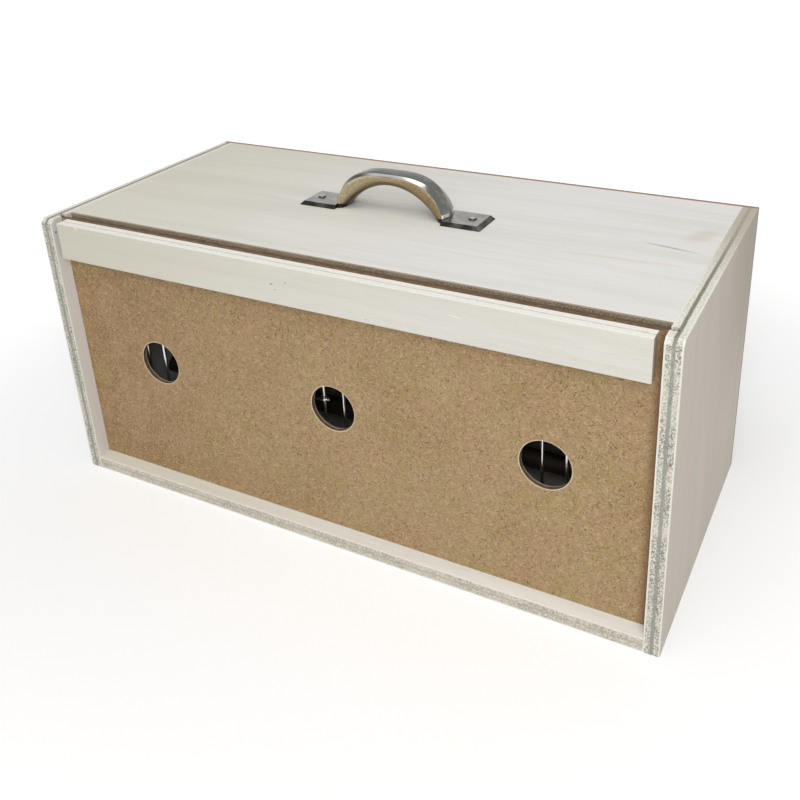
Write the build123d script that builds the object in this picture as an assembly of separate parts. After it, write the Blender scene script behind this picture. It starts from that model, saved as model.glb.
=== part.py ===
from build123d import *
import os
from math import cos, pi, radians, sin

# A small wooden transport cage for birds, in millimetres.
# X runs along the front, Y to the back, Z up; the origin is the middle of the underside.

# Carcass
LENGTH = 400.0
DEPTH = 183.0
HEIGHT = 184.0
PLY = 9.0
BACK_PANEL_THICKNESS = 3.0
ROOF_SETBACK = 16.7
CORNER_CHAMFER = 2.5

# Sliding shutter and its grooves
SHUTTER_THICKNESS = 3.0
SHUTTER_PLAY = 0.3
SHUTTER_END_PLAY = 0.4
SHUTTER_TOP_DROP = 1.3
GROOVE_DEPTH = 4.5
GROOVE_LIP = 9.0
SHUTTER_LIFT_CLEAR = 5.0

# Vent holes
VENT_DIAMETER = 29.0
VENT_COUNT = 3
VENT_PITCH = 130.0
VENT_SHIFT = 2.8
VENT_HEIGHT = 93.0

# Batten across the top of the shutter
BATTEN_THICKNESS = 9.0
BATTEN_HEIGHT = 23.5
BATTEN_END_GAP = 4.5

# Wire front
WIRE_DIAMETER = 1.8
WIRE_SIDES = 12
BAR_COUNT = 27
BAR_PITCH = 13.75
BAR_SHIFT = 3.1
BAR_SETBACK = 20.5
BAR_SOCKET_DEPTH = 5.0
SOCKET_CLEARANCE = 0.05
SOCKET_SIDES = 6
WELD_GAP = 0.02
CROSS_WIRE_OVERHANG = 3.0
UPPER_CROSS_HEIGHT = 138.0
LOWER_CROSS_HEIGHT = 48.0

# Wire door, which slides up on two of the bars
DOOR_LEFT_GUIDE = 6
DOOR_RIGHT_GUIDE = 12
DOOR_HEADER_HEIGHT = 88.5
DOOR_LOOP_CLEARANCE = 0.3
DOOR_STOP_CLEARANCE = 0.4
DOOR_SILL_GAP = 2.0
DOOR_BAR_OVERHANG = 2.0
DOOR_LOOP_ANGLE = 265.0
DOOR_LOOP_BENDS = 6

# Perch
PERCH_DIAMETER = 12.0
PERCH_HEIGHT = 40.0
PERCH_SETBACK = 82.0
PERCH_SOCKET_DEPTH = 4.0
PERCH_CLEARANCE = 0.05

# Bow handle
HANDLE_SETBACK = 95.0
HANDLE_SHIFT = 0.6
HANDLE_PLATE_END = 62.4
HANDLE_PLATE_INNER_END = 36.6
HANDLE_PLATE_WIDTH = 22.8
HANDLE_PLATE_HEIGHT = 2.5
HANDLE_END_BEVEL = 2.6
HANDLE_SIDE_BEVEL = 1.6
ARCH_OUTER_REACH = 39.6
ARCH_INNER_REACH = 32.4
ARCH_OUTER_RISE = 25.2
ARCH_INNER_RISE = 17.6
ARCH_OUTER_ROUNDNESS = (3.2, 1.6)
ARCH_INNER_ROUNDNESS = (2.0, 1.1)
ARCH_CROWN_WIDTH = 13.6
ARCH_FOOT_WIDTH = 16.4
ARCH_CROWN_FLAT = 10.8
ARCH_FOOT_FLAT = 1.4
ARCH_CROWN_FACET = 1.9
ARCH_FOOT_FACET = 2.4
ARCH_SIDE_SHARE = 0.55
ARCH_SHOULDER_SHARES = (0.84, 0.86)
ARCH_BELLY_SHARE = 0.45
ARCH_STATIONS = 13

# Fasteners
SCREW_SPACING = 105.4
SCREW_HEAD_DIAMETER = 5.4
SCREW_SHANK_DIAMETER = 2.8
SCREW_LENGTH = 10.5
SCREW_CROWN = 0.9
SCREW_CROWN_DIAMETER = 3.2
SCREW_CLEARANCE = 0.05
STAPLE_CROWN = 10.0
STAPLE_WIDTH = 1.2
STAPLE_THICKNESS = 0.6
BACK_STAPLE_LENGTH = 13.0
BACK_STAPLE_COLUMNS = 5
BACK_STAPLE_END_INSET = 20.0
BACK_STAPLE_SIDE_OFFSET = 32.0
BATTEN_STAPLE_LENGTH = 10.0
BATTEN_STAPLE_COUNT = 4
BATTEN_STAPLE_END_INSET = 18.5

# Planes and spans that follow from the sizes above
FRONT = -DEPTH / 2
BACK = DEPTH / 2
CARCASS_BACK = BACK - BACK_PANEL_THICKNESS
INNER_HALF = LENGTH / 2 - PLY
ROOF_UNDERSIDE = HEIGHT - PLY
WIRE_RADIUS = WIRE_DIAMETER / 2

GROOVE_FRONT = FRONT + GROOVE_LIP
GROOVE_WIDTH = SHUTTER_THICKNESS + SHUTTER_PLAY
SHUTTER_FRONT = GROOVE_FRONT + SHUTTER_PLAY / 2
SHUTTER_REAR = SHUTTER_FRONT + SHUTTER_THICKNESS
SHUTTER_TOP = HEIGHT - SHUTTER_TOP_DROP
SHUTTER_HALF = INNER_HALF + GROOVE_DEPTH - SHUTTER_END_PLAY
BATTEN_FRONT = SHUTTER_FRONT - BATTEN_THICKNESS
BATTEN_HALF = INNER_HALF - BATTEN_END_GAP
BATTEN_MIDDLE = SHUTTER_TOP - BATTEN_HEIGHT / 2

BAR_Y = FRONT + BAR_SETBACK
CROSS_Y = BAR_Y + WIRE_DIAMETER + WELD_GAP

DOOR_LOOP_RADIUS = WIRE_DIAMETER + DOOR_LOOP_CLEARANCE
DOOR_WIRE_Y = BAR_Y - DOOR_LOOP_RADIUS
DOOR_BAR_Y = DOOR_WIRE_Y - WIRE_DIAMETER - WELD_GAP
DOOR_TOP_HEIGHT = DOOR_HEADER_HEIGHT + WIRE_DIAMETER + DOOR_STOP_CLEARANCE
DOOR_BOTTOM_HEIGHT = PLY + DOOR_SILL_GAP + WIRE_RADIUS

PERCH_Y = FRONT + PERCH_SETBACK
HANDLE_Y = FRONT + HANDLE_SETBACK

# Travel of the two sliding pieces, as behaviour states it
SHUTTER_TRAVEL = HEIGHT - PLY + SHUTTER_LIFT_CLEAR
DOOR_TRAVEL = DOOR_HEADER_HEIGHT - WIRE_DIAMETER - DOOR_STOP_CLEARANCE - DOOR_BOTTOM_HEIGHT


def block(x0, x1, y0, y1, z0, z1):
    """A box between two corners."""
    size = (x1 - x0, y1 - y0, z1 - z0)
    return Pos((x0 + x1) / 2, (y0 + y1) / 2, (z0 + z1) / 2) * Box(*size)


def rod_z(x, y, z0, z1, radius):
    """An upright round rod."""
    return Pos(x, y, (z0 + z1) / 2) * Cylinder(radius, z1 - z0)


def rod_x(x0, x1, y, z, radius):
    """A round rod along the front."""
    return Pos((x0 + x1) / 2, y, z) * Rot(0, 90, 0) * Cylinder(radius, x1 - x0)


def rod_y(x, z, y0, y1, radius):
    """A round rod from front to back."""
    return Pos(x, (y0 + y1) / 2, z) * Rot(90, 0, 0) * Cylinder(radius, y1 - y0)


def straight_wire(length):
    """An upright wire from the origin, drawn as a prism to keep its faces few."""
    return extrude(RegularPolygon(WIRE_RADIUS, WIRE_SIDES), length)


def bar_x(index):
    """Place of a bar of the wire front along X."""
    return BAR_SHIFT + BAR_PITCH * (index - (BAR_COUNT - 1) / 2)


def bar_is_short(index):
    """True for the bars that stop above the door opening."""
    return DOOR_LEFT_GUIDE < index < DOOR_RIGHT_GUIDE


def spread(half, inset, count):
    """Evenly spaced places along X, the outer ones a given way in from both ends."""
    step = 2 * (half - inset) / (count - 1)
    return [inset - half + step * i for i in range(count)]


def staples(places, face_y, length, upright=False):
    """Wire staples driven forwards, their crowns flush with a face on their back."""
    half = STAPLE_CROWN / 2
    wide = STAPLE_WIDTH / 2
    crown_front = face_y - STAPLE_THICKNESS
    leg_front = face_y - length
    staple = block(-half, half, crown_front, face_y, -wide, wide)
    staple += block(-half, STAPLE_THICKNESS - half, leg_front, crown_front, -wide, wide)
    staple += block(half - STAPLE_THICKNESS, half, leg_front, crown_front, -wide, wide)
    if upright:
        staple = Rot(0, 90, 0) * staple
    return [Pos(x, 0, z) * staple for x, z in places]


def back_staples():
    """Staples through the back panel: rows into roof and floor, two into each side."""
    columns = spread(LENGTH / 2, BACK_STAPLE_END_INSET, BACK_STAPLE_COLUMNS)
    rows = [(x, z) for x in columns for z in (PLY / 2, HEIGHT - PLY / 2)]
    sides = (PLY / 2 - LENGTH / 2, LENGTH / 2 - PLY / 2)
    levels = (HEIGHT / 2 - BACK_STAPLE_SIDE_OFFSET, HEIGHT / 2 + BACK_STAPLE_SIDE_OFFSET)
    pairs = [(x, z) for x in sides for z in levels]
    return staples(rows, BACK, BACK_STAPLE_LENGTH) + staples(pairs, BACK, BACK_STAPLE_LENGTH, True)


def batten_staples():
    """Staples driven through the shutter board into the batten, from behind."""
    columns = spread(BATTEN_HALF, BATTEN_STAPLE_END_INSET, BATTEN_STAPLE_COUNT)
    places = [(x, BATTEN_MIDDLE) for x in columns]
    return staples(places, SHUTTER_REAR, BATTEN_STAPLE_LENGTH)


def bar_sockets(bars, z0, z1):
    """Holes that take the ends of some bars, six-sided to keep their faces few."""
    radius = WIRE_RADIUS + SOCKET_CLEARANCE
    hole = extrude(RegularPolygon(radius, SOCKET_SIDES, major_radius=False), z1 - z0)
    return [Pos(bar_x(i), BAR_Y, z0) * hole for i in bars]


def side_panel(side):
    """Side of the carcass, with the shutter's groove and the perch's socket."""
    outer = side * LENGTH / 2
    inner = side * INNER_HALF
    x0, x1 = sorted((outer, inner))
    panel = block(x0, x1, FRONT, CARCASS_BACK, 0, HEIGHT)
    corner = panel.edges().filter_by(Axis.X).group_by(Axis.Z)[-1].sort_by(Axis.Y)[0]
    panel = chamfer(corner, CORNER_CHAMFER)
    g0, g1 = sorted((inner, inner + side * GROOVE_DEPTH))
    panel -= block(g0, g1, GROOVE_FRONT, GROOVE_FRONT + GROOVE_WIDTH, 0, HEIGHT)
    socket_end = inner + side * PERCH_SOCKET_DEPTH
    p0, p1 = sorted((inner, socket_end))
    panel -= rod_x(p0, p1, PERCH_Y, PERCH_HEIGHT, PERCH_DIAMETER / 2 + PERCH_CLEARANCE)
    return panel - back_staples()


def floor_panel():
    """Floor of the carcass, out to the front edge, so the shutter stands on it."""
    panel = block(-INNER_HALF, INNER_HALF, FRONT, CARCASS_BACK, 0, PLY)
    bars = [i for i in range(BAR_COUNT) if not bar_is_short(i)]
    panel -= bar_sockets(bars, PLY - BAR_SOCKET_DEPTH, PLY)
    return panel - back_staples()


def roof_panel():
    """Roof of the carcass, set back from the front to leave the shutter's slot."""
    panel = block(-INNER_HALF, INNER_HALF, FRONT + ROOF_SETBACK, CARCASS_BACK, ROOF_UNDERSIDE, HEIGHT)
    panel -= bar_sockets(range(BAR_COUNT), ROOF_UNDERSIDE, ROOF_UNDERSIDE + BAR_SOCKET_DEPTH)
    panel -= handle_screws(SCREW_CLEARANCE)
    return panel - back_staples()


def back_panel():
    """Thin hardboard over the whole back."""
    panel = block(-LENGTH / 2, LENGTH / 2, CARCASS_BACK, BACK, 0, HEIGHT)
    return panel - back_staples()


def shutter_board():
    """Front shutter with its row of vent holes."""
    board = block(-SHUTTER_HALF, SHUTTER_HALF, SHUTTER_FRONT, SHUTTER_REAR, PLY, SHUTTER_TOP)
    first = VENT_SHIFT - VENT_PITCH * (VENT_COUNT - 1) / 2
    for i in range(VENT_COUNT):
        x = first + VENT_PITCH * i
        board -= rod_y(x, VENT_HEIGHT, SHUTTER_FRONT, SHUTTER_REAR, VENT_DIAMETER / 2)
    return board - batten_staples()


def shutter_batten():
    """Plywood strip along the shutter's top, which stiffens it and gives a grip."""
    bottom = SHUTTER_TOP - BATTEN_HEIGHT
    strip = block(-BATTEN_HALF, BATTEN_HALF, BATTEN_FRONT, SHUTTER_FRONT, bottom, SHUTTER_TOP)
    return strip - batten_staples()


def front_bar(index):
    """One upright bar, let into the roof and, unless it is over the door, the floor."""
    top = ROOF_UNDERSIDE + BAR_SOCKET_DEPTH
    bottom = PLY - BAR_SOCKET_DEPTH
    if bar_is_short(index):
        bottom = DOOR_HEADER_HEIGHT - WIRE_RADIUS
    return Pos(bar_x(index), BAR_Y, bottom) * straight_wire(top - bottom)


def cross_wire(first_bar, last_bar, z):
    """A wire welded across the backs of some bars."""
    x0 = bar_x(first_bar) - CROSS_WIRE_OVERHANG
    x1 = bar_x(last_bar) + CROSS_WIRE_OVERHANG
    return Pos(x0, CROSS_Y, z) * Rot(0, 90, 0) * straight_wire(x1 - x0)


def door_wire(z):
    """A cross wire of the door, its two ends bent into loops round the guide bars."""
    left = bar_x(DOOR_LEFT_GUIDE)
    right = bar_x(DOOR_RIGHT_GUIDE)
    step = DOOR_LOOP_ANGLE / DOOR_LOOP_BENDS
    corner = DOOR_LOOP_RADIUS / cos(radians(step / 2))
    turns = [(corner, step * (i + 0.5) - 90) for i in range(DOOR_LOOP_BENDS)]
    turns.append((DOOR_LOOP_RADIUS, DOOR_LOOP_ANGLE - 90))
    loop = [(reach * cos(radians(turn)), reach * sin(radians(turn))) for reach, turn in turns]
    right_loop = [Vector(right + x, BAR_Y + y, z) for x, y in loop]
    left_loop = [Vector(left - x, BAR_Y + y, z) for x, y in reversed(loop)]
    path = Wire.make_polygon(left_loop + right_loop, close=False)
    section = Plane(origin=path @ 0, z_dir=path % 0) * RegularPolygon(WIRE_RADIUS, WIRE_SIDES)
    return sweep(section, path=path, transition=Transition.RIGHT)


def door_bar(index):
    """An upright wire of the door, standing on the floor when the door is down."""
    top = DOOR_TOP_HEIGHT + DOOR_BAR_OVERHANG
    return Pos(bar_x(index), DOOR_BAR_Y, PLY) * straight_wire(top - PLY)


def perch():
    """Round wooden perch between the sides."""
    half = INNER_HALF + PERCH_SOCKET_DEPTH
    return rod_x(-half, half, PERCH_Y, PERCH_HEIGHT, PERCH_DIAMETER / 2)


def arch_point(reach, rise, roundness, angle):
    """A point on a flattened oval, angle 0 at the right foot and pi at the left one."""
    across = cos(angle)
    sign = 1 if across >= 0 else -1
    x = sign * reach * abs(across) ** (2 / roundness[0])
    z = rise * max(sin(angle), 0.0) ** (2 / roundness[1])
    return Vector(x, 0, z)


def between(crown, foot, angle):
    """A size that goes smoothly from the crown's value to the feet's."""
    return crown + (foot - crown) * cos(angle) ** 2


def arch_section(angle):
    """Cross-section of the bow: a flat outer face, two facets, sides, a rounded inner face."""
    outer = arch_point(ARCH_OUTER_REACH, ARCH_OUTER_RISE, ARCH_OUTER_ROUNDNESS, angle)
    inner = arch_point(ARCH_INNER_REACH, ARCH_INNER_RISE, ARCH_INNER_ROUNDNESS, angle)
    inwards = (inner - outer).normalized()
    thickness = (inner - outer).length
    half = between(ARCH_CROWN_WIDTH, ARCH_FOOT_WIDTH, angle) / 2
    flat = between(ARCH_CROWN_FLAT, ARCH_FOOT_FLAT, angle) / 2
    facet = between(ARCH_CROWN_FACET, ARCH_FOOT_FACET, angle)
    shoulder_width, shoulder_depth = ARCH_SHOULDER_SHARES
    side = [
        (flat, 0),
        (half, facet),
        (half, ARCH_SIDE_SHARE * thickness),
        (shoulder_width * half, shoulder_depth * thickness),
        (ARCH_BELLY_SHARE * half, thickness),
    ]
    outline = side + [(-y, depth) for y, depth in reversed(side)]
    points = [outer + inwards * depth + Vector(0, y, 0) for y, depth in outline]
    return Face(Wire.make_polygon(points, close=True))


def plate_outline(end, half, z):
    """Rectangle of the right foot plate at one height."""
    inner = HANDLE_PLATE_INNER_END
    corners = [(inner, -half, z), (end, -half, z), (end, half, z), (inner, half, z)]
    return Face(Wire.make_polygon([Vector(*corner) for corner in corners], close=True))


def handle_plate():
    """Bevelled foot plate at the right end of the handle, lying on the roof."""
    half = HANDLE_PLATE_WIDTH / 2
    bottom = plate_outline(HANDLE_PLATE_END, half, 0)
    top_end = HANDLE_PLATE_END - HANDLE_END_BEVEL
    top = plate_outline(top_end, half - HANDLE_SIDE_BEVEL, HANDLE_PLATE_HEIGHT)
    return loft([bottom, top], ruled=True)


def bow_handle():
    """Cast bow handle: two foot plates and a faceted arch, in one piece."""
    arch = loft([arch_section(pi * i / (ARCH_STATIONS - 1)) for i in range(ARCH_STATIONS)])
    plate = handle_plate()
    body = Pos(HANDLE_SHIFT, HANDLE_Y, HEIGHT) * (arch + plate + mirror(plate, about=Plane.YZ))
    return body - handle_screws(SCREW_CLEARANCE)


def handle_screws(clearance=0.0):
    """Two raised countersunk screws through the handle's plates into the roof."""
    head = SCREW_HEAD_DIAMETER / 2 + clearance
    shank = SCREW_SHANK_DIAMETER / 2 + clearance
    cone = head - shank
    screw = Pos(0, 0, -cone / 2) * Cone(shank, head, cone)
    screw += Pos(0, 0, SCREW_CROWN / 2) * Cone(head, SCREW_CROWN_DIAMETER / 2, SCREW_CROWN)
    screw += rod_z(0, 0, -SCREW_LENGTH - clearance, -cone, shank)
    seat = HEIGHT + HANDLE_PLATE_HEIGHT
    offsets = [HANDLE_SHIFT + side * SCREW_SPACING / 2 for side in (-1, 1)]
    return [Pos(x, HANDLE_Y, seat) * screw for x in offsets]


def all_pieces():
    """Every piece of the cage, by name."""
    pieces = {
        "side_panel_left": side_panel(-1),
        "side_panel_right": side_panel(1),
        "floor_panel": floor_panel(),
        "roof_panel": roof_panel(),
        "back_panel": back_panel(),
        "back_panel_staples": Compound(children=back_staples()),
        "shutter_board": shutter_board(),
        "shutter_batten": shutter_batten(),
        "batten_staples": Compound(children=batten_staples()),
        "bow_handle": bow_handle(),
        "handle_screws": Compound(children=handle_screws()),
        "perch": perch(),
        "door_header_wire": cross_wire(DOOR_LEFT_GUIDE, DOOR_RIGHT_GUIDE, DOOR_HEADER_HEIGHT),
        "door_top_wire": door_wire(DOOR_TOP_HEIGHT),
        "door_bottom_wire": door_wire(DOOR_BOTTOM_HEIGHT),
    }
    for level, z in (("upper", UPPER_CROSS_HEIGHT), ("lower", LOWER_CROSS_HEIGHT)):
        pieces[f"{level}_cross_wire_left"] = cross_wire(0, DOOR_LEFT_GUIDE - 1, z)
        pieces[f"{level}_cross_wire_right"] = cross_wire(DOOR_RIGHT_GUIDE + 1, BAR_COUNT - 1, z)
    for index in range(BAR_COUNT):
        pieces[f"front_bar_{index + 1:02d}"] = front_bar(index)
    for number, index in enumerate(range(DOOR_LEFT_GUIDE + 1, DOOR_RIGHT_GUIDE), start=1):
        pieces[f"door_bar_{number}"] = door_bar(index)
    return pieces


os.makedirs("parts", exist_ok=True)
for name, piece in all_pieces().items():
    export_step(piece, f"parts/{name}.step")
print("shutter travel", SHUTTER_TRAVEL)
print("door travel", round(DOOR_TRAVEL, 3))
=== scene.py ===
import math

import bpy
from mathutils import Matrix, Vector


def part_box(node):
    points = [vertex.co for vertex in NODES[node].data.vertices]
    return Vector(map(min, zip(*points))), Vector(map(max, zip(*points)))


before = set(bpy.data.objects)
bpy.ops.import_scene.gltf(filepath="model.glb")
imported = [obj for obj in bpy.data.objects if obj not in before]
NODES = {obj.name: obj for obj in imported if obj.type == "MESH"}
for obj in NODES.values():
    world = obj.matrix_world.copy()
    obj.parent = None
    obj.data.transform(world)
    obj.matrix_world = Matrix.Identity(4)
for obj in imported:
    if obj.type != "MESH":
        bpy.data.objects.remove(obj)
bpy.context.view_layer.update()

MM = 0.001
X, Y, Z = 0, 1, 2


# Node graphs. In the object's materials lengths are in mm and noise scales per mm, and the
# other bare numbers of a ramp or mix are levels and shares.

class Graph:
    """A small helper that builds a material's nodes in reading order."""

    def __init__(self, name):
        self.material = bpy.data.materials.new(name)
        self.material.use_nodes = True
        self.tree = self.material.node_tree
        self.tree.nodes.clear()
        self.output = self.add("ShaderNodeOutputMaterial")

    def add(self, kind, **settings):
        node = self.tree.nodes.new(kind)
        for key, value in settings.items():
            setattr(node, key, value)
        return node

    def plug(self, socket, value):
        if isinstance(value, bpy.types.NodeSocket):
            self.tree.links.new(value, socket)
        elif isinstance(value, tuple) and len(value) == 3 and socket.type == "RGBA":
            socket.default_value = (*value, 1.0)
        else:
            socket.default_value = value

    def math(self, operation, a, b=0.0):
        node = self.add("ShaderNodeMath", operation=operation)
        self.plug(node.inputs[0], a)
        self.plug(node.inputs[1], b)
        return node.outputs[0]

    def mix(self, factor, a, b):
        node = self.add("ShaderNodeMix", data_type="RGBA", clamp_factor=True)
        self.plug(node.inputs[0], factor)
        self.plug(node.inputs[6], a)
        self.plug(node.inputs[7], b)
        return node.outputs[2]

    def mix_value(self, factor, a, b):
        node = self.add("ShaderNodeMix", data_type="FLOAT", clamp_factor=True)
        self.plug(node.inputs[0], factor)
        self.plug(node.inputs[2], a)
        self.plug(node.inputs[3], b)
        return node.outputs[0]

    def ramp(self, value, low, high, out_low=0.0, out_high=1.0):
        node = self.add("ShaderNodeMapRange", clamp=True, interpolation_type="SMOOTHSTEP")
        for index, item in enumerate((value, low, high, out_low, out_high)):
            self.plug(node.inputs[index], item)
        return node.outputs[0]

    def millimetres(self):
        """Object coordinates in millimetres, as a vector and its three parts."""
        node = self.add("ShaderNodeTexCoord")
        scale = self.add("ShaderNodeVectorMath", operation="SCALE")
        self.plug(scale.inputs[0], node.outputs["Object"])
        scale.inputs["Scale"].default_value = 1.0 / MM
        parts = self.add("ShaderNodeSeparateXYZ")
        self.plug(parts.inputs[0], scale.outputs[0])
        return scale.outputs[0], parts.outputs

    def facing(self, axis, signed=False):
        """How much a surface faces along one axis of the object."""
        parts = self.add("ShaderNodeSeparateXYZ")
        self.plug(parts.inputs[0], self.add("ShaderNodeTexCoord").outputs["Normal"])
        return parts.outputs[axis] if signed else self.math("ABSOLUTE", parts.outputs[axis])

    def stretched(self, point, scales, offset=(0.0, 0.0, 0.0)):
        node = self.add("ShaderNodeMapping", vector_type="POINT")
        self.plug(node.inputs["Vector"], point)
        node.inputs["Location"].default_value = offset
        node.inputs["Scale"].default_value = scales
        return node.outputs[0]

    def noise(self, point, detail=3.0, rough=0.55, distortion=0.0):
        node = self.add("ShaderNodeTexNoise", noise_dimensions="3D")
        self.plug(node.inputs["Vector"], point)
        node.inputs["Scale"].default_value = 1.0
        node.inputs["Detail"].default_value = detail
        node.inputs["Roughness"].default_value = rough
        node.inputs["Distortion"].default_value = distortion
        return node.outputs["Fac"]

    def even_noise(self, point, scale, detail=3.0, rough=0.55, offset=(0.0, 0.0, 0.0)):
        return self.noise(self.stretched(point, (scale, scale, scale), offset), detail, rough)

    def cells(self, point, scale, offset=(0.0, 0.0, 0.0)):
        """Distance from scattered points, for specks and pits."""
        node = self.add("ShaderNodeTexVoronoi")
        self.plug(node.inputs["Vector"], self.stretched(point, (scale, scale, scale), offset))
        node.inputs["Scale"].default_value = 1.0
        return node.outputs["Distance"]

    def spot(self, point, place, radii, turn, wobble):
        """A soft-edged oval mark at a place, in mm, 1 in its middle and 0 outside."""
        node = self.add("ShaderNodeMapping", vector_type="TEXTURE")
        self.plug(node.inputs["Vector"], point)
        node.inputs["Location"].default_value = place
        node.inputs["Rotation"].default_value = turn
        node.inputs["Scale"].default_value = radii
        length = self.add("ShaderNodeVectorMath", operation="LENGTH")
        self.plug(length.inputs[0], node.outputs[0])
        reach = self.math("ADD", length.outputs["Value"], self.math("MULTIPLY", wobble, 0.5))
        return self.ramp(reach, 1.25, 0.45)

    def bump(self, height, strength, depth):
        """Small relief, whose depth is in mm."""
        node = self.add("ShaderNodeBump")
        self.plug(node.inputs["Height"], height)
        node.inputs["Strength"].default_value = strength
        node.inputs["Distance"].default_value = depth * MM
        return node.outputs[0]

    def surface(self, color, roughness, normal, **fixed):
        node = self.add("ShaderNodeBsdfPrincipled")
        self.plug(node.inputs["Base Color"], color)
        self.plug(node.inputs["Roughness"], roughness)
        self.plug(node.inputs["Normal"], normal)
        for key, value in fixed.items():
            node.inputs[key.replace("_", " ")].default_value = value
        self.plug(self.output.inputs[0], node.outputs[0])
        return self.material


def srgb(red, green, blue):
    """Linear colour from the 0 to 255 numbers of an ordinary colour."""
    def linear(v):
        v /= 255
        return v / 12.92 if v <= 0.04045 else ((v + 0.055) / 1.055) ** 2.4
    return tuple(linear(v) for v in (red, green, blue))


def shade(color, factor):
    return tuple(min(v * factor, 0.95) for v in color)


# Sizes and tones

VENT_RADIUS = 14.5
VENT_HEIGHT = 93.0
VENT_PITCH = 130.0
VENT_SHIFT = 2.8
VENT_PLACES = [VENT_SHIFT + VENT_PITCH * i for i in (-1, 0, 1)]
ROOF_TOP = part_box("roof_panel")[1].z / MM
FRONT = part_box("side_panel_left")[0].y / MM
BATTEN_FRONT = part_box("shutter_batten")[0].y / MM
SHUTTER_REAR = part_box("shutter_board")[1].y / MM
BOARD_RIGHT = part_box("shutter_board")[1].x / MM

# Distances from the board's right edge between which a painted shade darkens it.
BOARD_SHADE_STRIP = (11.5, 5.0)

# Heights above the roof between which the handle's look changes: where the painted highlights on its
# facets end, and where the plates begin.
FACET_SPLIT = (20.0, 22.8)
FACET_FOOT = (4.2, 5.5)
PLATE_ZONE = (2.7, 3.3)

FACE = srgb(231, 229, 225)
# Painted shade: the wide faces turn to this darker, yellower tone towards the left.
PAINTED_LEFT_SHADE = srgb(217, 214, 199)
SIDE_FACE = srgb(219, 209, 197)
STAIN = srgb(196, 172, 138)
# Bright tone for the handle: a painted highlight at the feet, and wear and a painted highlight on its
# edges.
BRIGHT_WEAR_AND_HIGHLIGHT = srgb(236, 234, 229)
BROWN = srgb(150, 122, 92)
BATTEN_FACE = srgb(224, 221, 213)
# Painted shade of the batten's face towards the left.
BATTEN_PAINTED_LEFT_SHADE = srgb(214, 211, 194)
# Painted highlight on the handle's facets.
PAINTED_FACET_HIGHLIGHT = srgb(184, 183, 179)

SAWN = {
    "light": srgb(232, 228, 214), "dark": srgb(118, 112, 98),
    "band": srgb(166, 169, 162), "skin": srgb(244, 240, 231), "half": 0.1, "pits": 0.5,
}
CAP = {
    "light": srgb(240, 237, 227), "dark": srgb(200, 195, 180),
    "band": srgb(130, 125, 108), "skin": srgb(244, 241, 232), "half": 0.1, "pits": 0.35,
}
ROUGH = {
    "light": srgb(176, 158, 134), "dark": srgb(84, 68, 50),
    "band": srgb(134, 114, 90), "skin": srgb(192, 178, 156), "half": 0.18, "pits": 0.6,
}
FLOOR_EDGE = {
    "light": srgb(228, 221, 207), "dark": srgb(160, 153, 137),
    "band": srgb(196, 191, 179), "skin": srgb(242, 237, 226), "half": 0.04, "pits": 0.4,
}
CLEAN = {
    "light": srgb(246, 243, 235), "dark": srgb(232, 228, 217),
    "band": srgb(206, 205, 198), "skin": srgb(248, 246, 239), "half": 0.03, "pits": 0.1,
}
END_GRAIN = {
    "light": srgb(206, 190, 164), "dark": srgb(150, 132, 106),
    "band": srgb(170, 150, 122), "skin": srgb(240, 236, 226), "half": 0.1, "pits": 0.4,
}

# Marks, one of them a painted shade: place, radii and turn of the oval, strength, tone.
LEVEL = (0.0, 0.0, 0.0)
ROOF_MARKS = (
    ((180.0, 34.0, ROOF_TOP), (9.0, 20.0, 9.0), (0.0, 0.0, -0.5), 0.3, STAIN),
    ((168.0, 10.6, ROOF_TOP), (22.0, 1.6, 9.0), (0.0, 0.0, -0.16), 0.5, BROWN),
    ((150.0, -14.0, ROOF_TOP), (46.0, 2.4, 9.0), (0.0, 0.0, 0.05), 0.22, STAIN),
)
BATTEN_MARKS = (
    ((-170.0, BATTEN_FRONT, 181.6), (1.3, 3.0, 1.3), LEVEL, 0.8, srgb(248, 244, 234)),
    ((-24.2, BATTEN_FRONT, 171.2), (1.4, 3.0, 0.7), LEVEL, 0.8, BROWN),
    ((-14.6, BATTEN_FRONT, 173.5), (0.9, 3.0, 0.6), LEVEL, 0.8, BROWN),
    ((-22.0, BATTEN_FRONT, 168.0), (0.8, 3.0, 0.5), LEVEL, 0.7, BROWN),
    ((87.9, BATTEN_FRONT, 173.6), (5.0, 3.0, 0.5), (0.0, 0.2, 0.0), 0.7, srgb(248, 244, 234)),
)
LEFT_MARKS = (((-191.0, -89.1, 175.5), (3.0, 0.9, 0.9), LEVEL, 0.9, srgb(70, 58, 46)),)
RIGHT_MARKS = (
    # The first right mark is a painted shade, a large darker oval over the upper back of the panel.
    ((200.0, 96.0, 190.0), (60.0, 140.0, 140.0), LEVEL, 0.8, srgb(180, 171, 155)),
    ((197.7, FRONT, 118.8), (0.9, 3.0, 1.7), LEVEL, 0.85, srgb(128, 98, 66)),
    ((198.6, FRONT, 182.6), (0.9, 2.0, 0.9), LEVEL, 0.7, srgb(172, 170, 96)),
    ((190.9, FRONT, 115.0), (0.6, 3.0, 14.0), LEVEL, 0.8, srgb(246, 244, 238)),
)


# Plywood

def along_grain(g, point, grain_axis, shift):
    """A maker of noise that is stretched along the grain."""
    def layer(along, across, detail=3.0, rough=0.55, distortion=0.0):
        scales = tuple(along if axis == grain_axis else across for axis in (X, Y, Z))
        return g.noise(g.stretched(point, scales, shift), detail, rough, distortion)
    return layer


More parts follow.
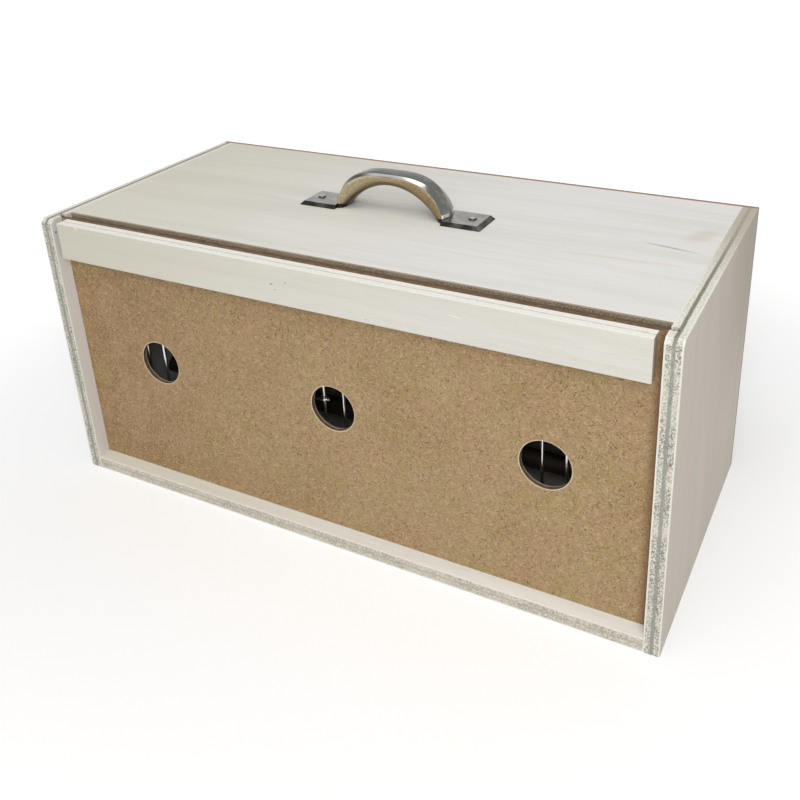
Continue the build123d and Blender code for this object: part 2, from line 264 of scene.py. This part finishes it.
def veneer(g, point, parts, layer, shift, face, painted_left_shade):
    """Colour, height and roughness of a panel's wide faces: grain, flecks and specks."""
    figure = layer(0.004, 0.07, 4.0, 0.6, 0.5)
    grain = layer(0.03, 0.9)
    fine = layer(0.12, 2.6, 2.0)
    # Towards the left the face turns darker and yellower: a painted shade.
    color = g.mix(g.ramp(parts[X], 90.0, -210.0), face, painted_left_shade)
    color = g.mix(g.ramp(figure, 0.38, 0.66, 0.0, 0.6), color, g.mix(0.5, color, shade(painted_left_shade, 0.86)))
    color = g.mix(g.ramp(grain, 0.52, 0.7, 0.0, 0.17), color, shade(painted_left_shade, 0.8))
    color = g.mix(g.ramp(fine, 0.6, 0.78, 0.0, 0.26), color, shade(painted_left_shade, 0.66))
    streaks = layer(0.0035, 0.028, 3.0, 0.6, 1.2)
    color = g.mix(g.ramp(streaks, 0.62, 0.8, 0.0, 0.5), color, srgb(214, 202, 180))
    color = g.mix(g.ramp(g.cells(point, 0.045, shift), 0.03, 0.012, 0.0, 0.6), color, srgb(126, 104, 78))
    height = g.math("ADD", g.math("MULTIPLY", grain, 0.35), g.math("MULTIPLY", fine, -0.3))
    return color, height, g.ramp(figure, 0.3, 0.7, 0.6, 0.74)


def layers(g, point, layer, shift, share, look):
    """Colour of a sawn edge: two skins, two rough zones and a middle band."""
    middle = g.math("ABSOLUTE", g.math("SUBTRACT", share, 0.5))
    speckle = g.even_noise(point, 1.3, 4.0, 0.8, shift)
    patches = g.even_noise(point, 0.04, 3.0, 0.6, shift)
    fibre = layer(0.25, 1.8, 3.0, 0.7)
    zone = g.mix(g.ramp(speckle, 0.4, 0.57), look["dark"], look["light"])
    zone = g.mix(g.ramp(patches, 0.46, 0.66, 0.0, 0.45), zone, look["light"])
    band = g.mix(g.ramp(fibre, 0.35, 0.65), shade(look["band"], 0.72), look["band"])
    band = g.mix(g.ramp(speckle, 0.35, 0.5, 0.45, 0.0), band, shade(look["band"], 0.72))
    skin = g.mix(g.ramp(fibre, 0.3, 0.7), shade(look["skin"], 0.86), look["skin"])
    blurred = g.math("ADD", middle, g.math("MULTIPLY", g.math("SUBTRACT", fibre, 0.5), 0.09))
    edge = g.mix(g.ramp(blurred, look["half"] + 0.05, look["half"] - 0.04, 0.0, 0.9), zone, band)
    edge = g.mix(g.ramp(middle, 0.39, 0.42), edge, skin)
    pit = g.math("MULTIPLY", g.ramp(g.cells(point, 0.7, shift), 0.24, 0.1), g.ramp(middle, 0.43, 0.38))
    edge = g.mix(g.math("MULTIPLY", pit, look["pits"]), edge, shade(look["dark"], 0.5))
    return edge, g.math("SUBTRACT", g.math("MULTIPLY", speckle, 2.4), g.math("MULTIPLY", pit, 1.2))


def plywood(name, node, thickness_axis, grain_axis, face, painted_left_shade, looks, marks=(), seed=0.0):
    """Pale poplar plywood: grained veneer faces and layered, rough edges.

    looks has the look of most edges and that of the edges that face upwards.
    """
    g = Graph(name)
    point, parts = g.millimetres()
    shift = (seed * 37.1, seed * 11.3, seed * 5.7)
    layer = along_grain(g, point, grain_axis, shift)
    low, high = (corner[thickness_axis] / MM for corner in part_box(node))
    wobble = g.math("SUBTRACT", g.even_noise(point, 0.07, 3.0, 0.55, shift), 0.5)
    share = g.math("DIVIDE", g.math("SUBTRACT", parts[thickness_axis], low), high - low)
    share = g.math("ADD", share, g.math("MULTIPLY", wobble, 0.1))
    edge, edge_height = layers(g, point, layer, shift, share, looks[0])
    if looks[1] is not looks[0]:
        top_edge, _ = layers(g, point, layer, shift, share, looks[1])
        edge = g.mix(g.ramp(g.facing(Z), 0.55, 0.8), edge, top_edge)
    color, height, roughness = veneer(g, point, parts, layer, shift, face, painted_left_shade)
    flat = g.ramp(g.facing(thickness_axis), 0.55, 0.8)
    color = g.mix(flat, edge, color)
    ragged = g.even_noise(point, 0.6)
    for place, radii, turn, strength, tone in marks:
        mark = g.spot(point, place, radii, turn, ragged)
        color = g.mix(g.math("MULTIPLY", mark, strength), color, tone)
    normal = g.bump(g.mix_value(flat, edge_height, height), 0.3, 0.4)
    return g.surface(color, g.mix_value(flat, 0.88, roughness), normal, Specular_IOR_Level=0.3)


# Boards, perch and metal

def fibres(g, point, low, high, place):
    """Short fibres lying in the board's plane, in four directions."""
    mask = 0.0
    for index in range(4):
        node = g.add("ShaderNodeMapping", vector_type="TEXTURE")
        g.plug(node.inputs["Vector"], point)
        node.inputs["Rotation"].default_value = (0.0, 0.35 + index * math.pi / 4, 0.0)
        squeezed = g.stretched(node.outputs[0], (0.3, 0.9, 1.5), (place + 13.0 * index, 3.0, place))
        mask = g.math("MAXIMUM", mask, g.ramp(g.noise(squeezed, 2.0, 0.5, 0.6), low, high))
    return mask


def vent_reach(g, parts):
    """Distance from the middle of the nearest vent, in mm."""
    nearest = 1000.0
    for x in VENT_PLACES:
        dx = g.math("SUBTRACT", parts[X], x)
        dz = g.math("SUBTRACT", parts[Z], VENT_HEIGHT)
        square = g.math("ADD", g.math("MULTIPLY", dx, dx), g.math("MULTIPLY", dz, dz))
        nearest = g.math("MINIMUM", nearest, g.math("SQRT", square))
    return nearest


def fibreboard():
    """Brown fibreboard: short fibres every way, dark flecks, pale fuzzy rims round the holes."""
    g = Graph("shutter_fibreboard")
    point, parts = g.millimetres()
    mottle = g.even_noise(point, 0.018, 3.0, 0.6)
    hue = g.even_noise(point, 0.035, 3.0, 0.6, (9.0, 4.0, 2.0))
    cloud = g.even_noise(point, 0.3, 4.0, 0.75)
    fine = g.even_noise(point, 1.1, 3.0, 0.8)
    base = g.mix(g.ramp(mottle, 0.35, 0.65), srgb(160, 133, 93), srgb(170, 146, 107))
    # Darker towards the left: a painted shade.
    color = g.mix(g.ramp(parts[X], 40.0, -200.0, 0.0, 0.8), base, srgb(148, 116, 79))
    color = g.mix(g.ramp(hue, 0.46, 0.6, 0.0, 0.75), color, srgb(168, 137, 102))
    color = g.mix(g.ramp(hue, 0.46, 0.34, 0.0, 0.7), color, srgb(158, 137, 88))
    color = g.mix(g.ramp(cloud, 0.44, 0.66, 0.0, 0.35), color, srgb(190, 164, 126))
    color = g.mix(g.ramp(fine, 0.5, 0.66, 0.0, 0.42), color, srgb(128, 99, 66))
    pale = fibres(g, point, 0.61, 0.67, 0.0)
    dark = fibres(g, point, 0.64, 0.69, 50.0)
    color = g.mix(g.math("MULTIPLY", pale, 0.6), color, srgb(208, 182, 144))
    color = g.mix(g.math("MULTIPLY", dark, 0.8), color, srgb(100, 73, 46))
    color = g.mix(g.ramp(g.cells(point, 0.2), 0.1, 0.05, 0.0, 0.9), color, srgb(78, 55, 36))

    # Painted shade along the board's right edge.
    strip = (BOARD_RIGHT - inset for inset in BOARD_SHADE_STRIP)
    shaded = g.ramp(parts[X], *strip, 0.0, 0.75)
    color = g.mix(shaded, color, srgb(122, 86, 58))

    # The cut edges are darker, with a pale rim at both edges of a vent.
    face = g.ramp(g.facing(Y), 0.4, 0.7)
    wall = g.mix(g.ramp(cloud, 0.4, 0.6), srgb(84, 64, 46), srgb(116, 91, 66))
    color = g.mix(face, wall, color)
    ragged = g.math("MULTIPLY", g.math("SUBTRACT", fine, 0.5), 0.5)
    reach = g.math("ADD", vent_reach(g, parts), ragged)
    rim = g.math("MULTIPLY", face, g.ramp(reach, VENT_RADIUS + 0.65, VENT_RADIUS + 0.35, 0.0, 0.85))
    near = g.ramp(reach, VENT_RADIUS + 2.0, VENT_RADIUS + 1.0)
    inner = g.math("MULTIPLY", near, g.ramp(parts[Y], SHUTTER_REAR - 0.7, SHUTTER_REAR - 0.45, 0.0, 0.8))
    color = g.mix(g.math("MAXIMUM", rim, inner), color, srgb(226, 212, 188))
    height = g.math("ADD", g.math("MULTIPLY", fine, 0.6), g.math("MULTIPLY", cloud, 0.4))
    normal = g.bump(height, 0.25, 0.3)
    return g.surface(color, g.ramp(cloud, 0.3, 0.7, 0.55, 0.7), normal, Specular_IOR_Level=0.3)


def hardboard():
    """Brown hardboard back: smooth outside; the rough inner side has a near-black painted shade."""
    g = Graph("back_hardboard")
    point, _ = g.millimetres()
    cloud = g.even_noise(point, 0.05, 5.0, 0.65)
    fine = g.even_noise(point, 1.1, 3.0, 0.7)
    color = g.mix(g.ramp(cloud, 0.3, 0.7), srgb(128, 92, 60), srgb(152, 112, 76))
    color = g.mix(g.ramp(fine, 0.45, 0.75, 0.0, 0.5), color, srgb(96, 66, 42))
    # The inner side gets a near-black painted shade for the dark interior of the box.
    painted_shade_side = g.ramp(g.facing(Y, signed=True), -0.5, -0.8)
    inner = g.mix(g.ramp(fine, 0.35, 0.65), srgb(30, 27, 28), srgb(46, 41, 40))
    color = g.mix(painted_shade_side, color, inner)
    normal = g.bump(fine, 0.2, 0.2)
    return g.surface(color, g.ramp(cloud, 0.3, 0.7, 0.4, 0.56), normal)


def beech_in_painted_shade():
    """Beech perch in a dark painted shade for the dark interior, with short flecks along the grain."""
    g = Graph("perch_beech")
    point, _ = g.millimetres()
    figure = g.noise(g.stretched(point, (0.012, 0.3, 0.3)), 4.0, 0.6)
    fleck = g.noise(g.stretched(point, (0.3, 1.8, 1.8)), 2.0, 0.5)
    color = g.mix(g.ramp(figure, 0.35, 0.65), srgb(50, 39, 30), srgb(68, 53, 40))
    color = g.mix(g.ramp(fleck, 0.6, 0.72, 0.0, 0.6), color, srgb(34, 26, 20))
    normal = g.bump(fleck, 0.2, 0.2)
    return g.surface(color, g.ramp(figure, 0.3, 0.7, 0.5, 0.62), normal)


def below(g, parts, zone):
    """1 under a zone of heights above the roof and 0 over it."""
    low, high = zone
    return g.ramp(parts[Z], ROOF_TOP + high, ROOF_TOP + low)


def nickel_with_painted_reflections():
    """Handle: nickel with painted reflections: a dark crown, lighter to the right, for a dark ceiling,
    a warm one of the wood on the front, back and underside, painted highlights on the facets,
    bright edges from wear and a painted highlight, and plates with dark bevels."""
    g = Graph("handle_nickel")
    point, parts = g.millimetres()
    cloud = g.even_noise(point, 0.12, 4.0, 0.6)
    mottle = g.even_noise(point, 0.9, 3.0, 0.6)
    sideways, upwards = g.facing(Y), g.facing(Z, signed=True)
    patch = g.ramp(cloud, 0.35, 0.65)
    dark = g.mix(patch, srgb(38, 38, 36), srgb(54, 54, 52))
    light = g.mix(patch, srgb(103, 103, 99), srgb(132, 131, 127))
    # The crown's dark tone, lighter to the right, is a painted reflection of a dark ceiling.
    crown = g.mix(g.ramp(parts[X], -24.0, 44.0), dark, light)
    # A warm painted reflection of the wood on the front and back sides, mottled.
    painted_wood_reflection = g.mix(g.ramp(parts[X], -42.0, 30.0), srgb(206, 192, 164), srgb(168, 148, 114))
    painted_wood_reflection = g.mix(g.ramp(mottle, 0.42, 0.66, 0.0, 0.4), painted_wood_reflection, srgb(112, 94, 68))
    color = g.mix(g.ramp(sideways, 0.82, 0.95), crown, painted_wood_reflection)
    # Painted highlights on the facets: near the crown from the middle rightwards, and a bright line at
    # the feet.
    facet_band = g.math("MULTIPLY", g.ramp(sideways, 0.22, 0.4), g.ramp(sideways, 0.9, 0.76))
    dull = g.mix(g.ramp(parts[X], -20.0, 24.0), srgb(80, 80, 76), srgb(106, 106, 101))
    facet = g.mix(g.ramp(parts[X], -20.0, -8.0), dull, PAINTED_FACET_HIGHLIGHT)
    facet = g.mix(below(g, parts, FACET_SPLIT), facet, dull)
    facet = g.mix(below(g, parts, FACET_FOOT), facet, BRIGHT_WEAR_AND_HIGHLIGHT)
    color = g.mix(g.math("MULTIPLY", facet_band, g.ramp(upwards, -0.1, 0.25)), color, facet)
    # A warm painted reflection of the wood below, on the underside.
    painted_underside_reflection = g.mix(g.ramp(mottle, 0.35, 0.65), srgb(96, 80, 58), srgb(130, 110, 80))
    color = g.mix(g.ramp(upwards, -0.1, -0.4, 0.0, 0.85), color, painted_underside_reflection)
    plate = below(g, parts, PLATE_ZONE)
    flat = g.mix(patch, srgb(126, 125, 120), srgb(152, 151, 146))
    bevel = g.mix(g.ramp(cloud, 0.4, 0.7), srgb(50, 49, 46), srgb(92, 91, 86))
    color = g.mix(plate, color, g.mix(g.ramp(upwards, 0.96, 0.9), flat, bevel))
    # Bright edges, not on the plates: wear and a painted highlight.
    wear_and_highlight = g.ramp(g.add("ShaderNodeNewGeometry").outputs["Pointiness"], 0.53, 0.6, 0.0, 0.8)
    color = g.mix(g.mix_value(plate, wear_and_highlight, 0.0), color, BRIGHT_WEAR_AND_HIGHLIGHT)
    normal = g.bump(mottle, 0.05, 0.08)
    return g.surface(color, g.ramp(mottle, 0.3, 0.7, 0.16, 0.26), normal, Metallic=1.0)


def screw_nickel():
    """Raised screw heads: a painted highlight on the flat top, and a painted shade on the sloping
    sides that reads as the recess round the head.
    """
    g = Graph("screw_nickel")
    point, _ = g.millimetres()
    cloud = g.even_noise(point, 0.6, 3.0, 0.6)
    # A painted highlight on the flat top, and painted shade of the recess on the sloping sides.
    top = g.mix(g.ramp(cloud, 0.35, 0.65), srgb(150, 149, 145), srgb(196, 194, 190))
    painted_recess_shade = g.mix(g.ramp(cloud, 0.35, 0.65), srgb(44, 43, 41), srgb(84, 82, 78))
    color = g.mix(g.ramp(g.facing(Z), 0.9, 0.98), painted_recess_shade, top)
    normal = g.bump(cloud, 0.1, 0.08)
    return g.surface(color, g.ramp(cloud, 0.3, 0.7, 0.2, 0.34), normal, Metallic=1.0)


def metal(name, tone, rough_low, rough_high, streaks=(0.8, 0.8, 0.8)):
    """Plated or drawn metal with cloudy wear and fine scratches."""
    g = Graph(name)
    point, _ = g.millimetres()
    cloud = g.even_noise(point, 0.09, 4.0, 0.6)
    fine = g.noise(g.stretched(point, streaks), 3.0, 0.6)
    color = g.mix(g.ramp(cloud, 0.35, 0.68), shade(tone, 0.86), tone)
    color = g.mix(g.ramp(fine, 0.55, 0.8, 0.0, 0.2), color, shade(tone, 0.6))
    # Bright edges: wear and a painted highlight.
    wear_and_highlight = g.ramp(g.add("ShaderNodeNewGeometry").outputs["Pointiness"], 0.52, 0.6, 0.0, 0.6)
    color = g.mix(wear_and_highlight, color, shade(tone, 1.5))
    normal = g.bump(fine, 0.03, 0.05)
    return g.surface(color, g.ramp(fine, 0.3, 0.7, rough_low, rough_high), normal, Metallic=1.0)


# Materials of the nodes

MATERIALS = {
    "roof_panel": plywood("roof_ply", "roof_panel", Z, X, FACE, PAINTED_LEFT_SHADE, (ROUGH, ROUGH), ROOF_MARKS, 1.0),
    "floor_panel": plywood(
        "floor_ply", "floor_panel", Z, X, FACE, PAINTED_LEFT_SHADE, (FLOOR_EDGE, FLOOR_EDGE), (), 2.0),
    "shutter_batten": plywood(
        "batten_ply", "shutter_batten", Y, X, BATTEN_FACE, BATTEN_PAINTED_LEFT_SHADE,
        (END_GRAIN, CLEAN), BATTEN_MARKS, 3.0),
    "side_panel_left": plywood(
        "left_ply", "side_panel_left", X, Z, FACE, FACE, (SAWN, CAP), LEFT_MARKS, 4.0),
    "side_panel_right": plywood(
        "right_ply", "side_panel_right", X, Z, SIDE_FACE, PAINTED_LEFT_SHADE, (SAWN, CAP), RIGHT_MARKS, 5.0),
    "back_panel": hardboard(),
    "shutter_board": fibreboard(),
    "perch": beech_in_painted_shade(),
    "bow_handle": nickel_with_painted_reflections(),
    "handle_screws": screw_nickel(),
}
STAPLE = metal("staple_steel", srgb(170, 168, 164), 0.3, 0.45)
WIRE = metal("wire_galvanised", srgb(244, 244, 242), 0.14, 0.24, (1.6, 1.6, 0.06))
for name, node in NODES.items():
    node.data.materials.clear()
    node.data.materials.append(MATERIALS.get(name) or (STAPLE if "staples" in name else WIRE))


# Softened edges, in mm and degrees

WELD_REACH = 0.002
BEVEL_SEGMENTS = 2
BOARD_ROUNDING = 0.25
BATTEN_ROUNDING = 0.3
HANDLE_ROUNDING = 0.22
SHARP_ANGLE = 30.0
HANDLE_SHARP_ANGLE = 25.0


def soften(name, width, angle=SHARP_ANGLE):
    """Rounds a node's sharp edges a little, as sawn and handled edges are."""
    node = NODES[name]
    weld = node.modifiers.new("weld", "WELD")
    weld.merge_threshold = WELD_REACH * MM
    bevel = node.modifiers.new("bevel", "BEVEL")
    bevel.width = width * MM
    bevel.segments = BEVEL_SEGMENTS
    bevel.limit_method = "ANGLE"
    bevel.angle_limit = math.radians(angle)


for name in ("side_panel_left", "side_panel_right", "roof_panel", "floor_panel", "back_panel"):
    soften(name, BOARD_ROUNDING)
soften("shutter_batten", BATTEN_ROUNDING)
soften("shutter_board", BOARD_ROUNDING)
soften("bow_handle", HANDLE_ROUNDING, HANDLE_SHARP_ANGLE)


# Camera, light and floor, in metres and degrees

CAMERA_AZIMUTH = -28.46858
CAMERA_ELEVATION = 23.37913
CAMERA_ROLL = -2.30388
CAMERA_PLACE = (0.274331, -0.459107, 0.383251)
CAMERA_LENS = 42.095
CAMERA_SHIFT = (-0.03694, -0.17566)
CAMERA_SENSOR = 36.0
CAMERA_REACH = (0.01, 20.0)
AMBIENT = 0.34
FLOOR_SEEN = 0.8
FLOOR_BOUNCE = 0.68
FLOOR_GLOW_NEAR = 0.2
FLOOR_GLOW_FAR = 0.5
FLOOR_GLOW_REACH = (0.22, 0.62)
FLOOR_HALF = 6.0

# Lamps: the suns' direction, level and spread, the softbox's place, target, size and power.
TOP_LIGHT = ((0.0, -0.25, 1.0), 0.31, 40.0)
FRONT_LIGHT = ((0.2, -1.0, 0.55), 0.1, 50.0)
RIGHT_LIGHT = ((0.45, -0.8, 0.75), (0.05, 0.0, 0.12), 0.5, 4.9)


def make_camera():
    azimuth, elevation, roll = (
        math.radians(v) for v in (CAMERA_AZIMUTH, CAMERA_ELEVATION, CAMERA_ROLL))
    level = math.cos(elevation)
    forward = Vector((math.sin(azimuth) * level, math.cos(azimuth) * level, -math.sin(elevation)))
    right = forward.cross(Vector((0, 0, 1))).normalized()
    up = right.cross(forward)
    c, s = math.cos(roll), math.sin(roll)
    right, up = c * right + s * up, -s * right + c * up
    data = bpy.data.cameras.new("camera")
    data.sensor_width = CAMERA_SENSOR
    data.sensor_fit = "HORIZONTAL"
    data.lens = CAMERA_LENS
    data.shift_x, data.shift_y = CAMERA_SHIFT
    data.clip_start, data.clip_end = CAMERA_REACH
    camera = bpy.data.objects.new("camera", data)
    matrix = Matrix((right, up, -forward)).transposed().to_4x4()
    matrix.translation = Vector(CAMERA_PLACE)
    camera.matrix_world = matrix
    bpy.context.scene.collection.objects.link(camera)
    bpy.context.scene.camera = camera


def seen_rays(tree):
    """1 for the rays that show the background, 0 for those that light the object."""
    path = tree.nodes.new("ShaderNodeLightPath")
    value = path.outputs["Is Camera Ray"]
    for name in ("Is Glossy Ray", "Is Transmission Ray"):
        node = tree.nodes.new("ShaderNodeMath")
        node.operation = "MAXIMUM"
        tree.links.new(value, node.inputs[0])
        tree.links.new(path.outputs[name], node.inputs[1])
        value = node.outputs[0]
    return value


def make_world():
    """Even soft light, in front of a background that is seen as white."""
    world = bpy.data.worlds.new("studio")
    bpy.context.scene.world = world
    world.use_nodes = True
    tree = world.node_tree
    tree.nodes.clear()
    output = tree.nodes.new("ShaderNodeOutputWorld")
    mix = tree.nodes.new("ShaderNodeMixShader")
    tree.links.new(seen_rays(tree), mix.inputs[0])
    for socket, strength in ((mix.inputs[1], AMBIENT), (mix.inputs[2], 1.0)):
        node = tree.nodes.new("ShaderNodeBackground")
        node.inputs["Color"].default_value = (1.0, 1.0, 1.0, 1.0)
        node.inputs["Strength"].default_value = strength
        tree.links.new(node.outputs[0], socket)
    tree.links.new(mix.outputs[0], output.inputs[0])


def make_floor():
    """White floor that keeps the object's soft shadow."""
    mesh = bpy.data.meshes.new("floor")
    h = FLOOR_HALF
    mesh.from_pydata([(-h, -h, 0), (h, -h, 0), (h, h, 0), (-h, h, 0)], [], [(0, 1, 2, 3)])
    floor = bpy.data.objects.new("floor", mesh)
    bpy.context.scene.collection.objects.link(floor)
    g = Graph("floor_white")
    seen = seen_rays(g.tree)
    diffuse = g.add("ShaderNodeBsdfDiffuse")
    bounce = (FLOOR_BOUNCE, FLOOR_BOUNCE, FLOOR_BOUNCE)
    g.plug(diffuse.inputs["Color"], g.mix(seen, bounce, (FLOOR_SEEN, FLOOR_SEEN, FLOOR_SEEN)))
    length = g.add("ShaderNodeVectorMath", operation="LENGTH")
    g.plug(length.inputs[0], g.add("ShaderNodeTexCoord").outputs["Object"])
    glow = g.ramp(length.outputs["Value"], *FLOOR_GLOW_REACH, FLOOR_GLOW_NEAR, FLOOR_GLOW_FAR)
    emission = g.add("ShaderNodeEmission")
    g.plug(emission.inputs["Strength"], g.math("MULTIPLY", seen, glow))
    add = g.add("ShaderNodeAddShader")
    g.plug(add.inputs[0], diffuse.outputs[0])
    g.plug(add.inputs[1], emission.outputs[0])
    g.plug(g.output.inputs[0], add.outputs[0])
    mesh.materials.append(g.material)


def link_lamp(name, data, turn, place=(0.0, 0.0, 0.0)):
    lamp = bpy.data.objects.new(name, data)
    lamp.location = place
    lamp.rotation_euler = turn.to_euler()
    bpy.context.scene.collection.objects.link(lamp)


def sun(name, towards, level, spread):
    """Even light from one side; level 1 lights a white surface that faces it to white."""
    data = bpy.data.lights.new(name, "SUN")
    data.energy = level * math.pi
    data.angle = math.radians(spread)
    link_lamp(name, data, Vector(towards).to_track_quat("Z", "Y"))


def softbox(name, place, target, size, power):
    data = bpy.data.lights.new(name, "AREA")
    data.shape = "SQUARE"
    data.size = size
    data.energy = power
    link_lamp(name, data, (Vector(target) - Vector(place)).to_track_quat("-Z", "Y"), place)


make_camera()
make_world()
make_floor()
sun("top_light", *TOP_LIGHT)
sun("front_light", *FRONT_LIGHT)
softbox("right_light", *RIGHT_LIGHT)
bpy.context.scene.view_settings.view_transform = "Standard"
bpy.context.view_layer.update()
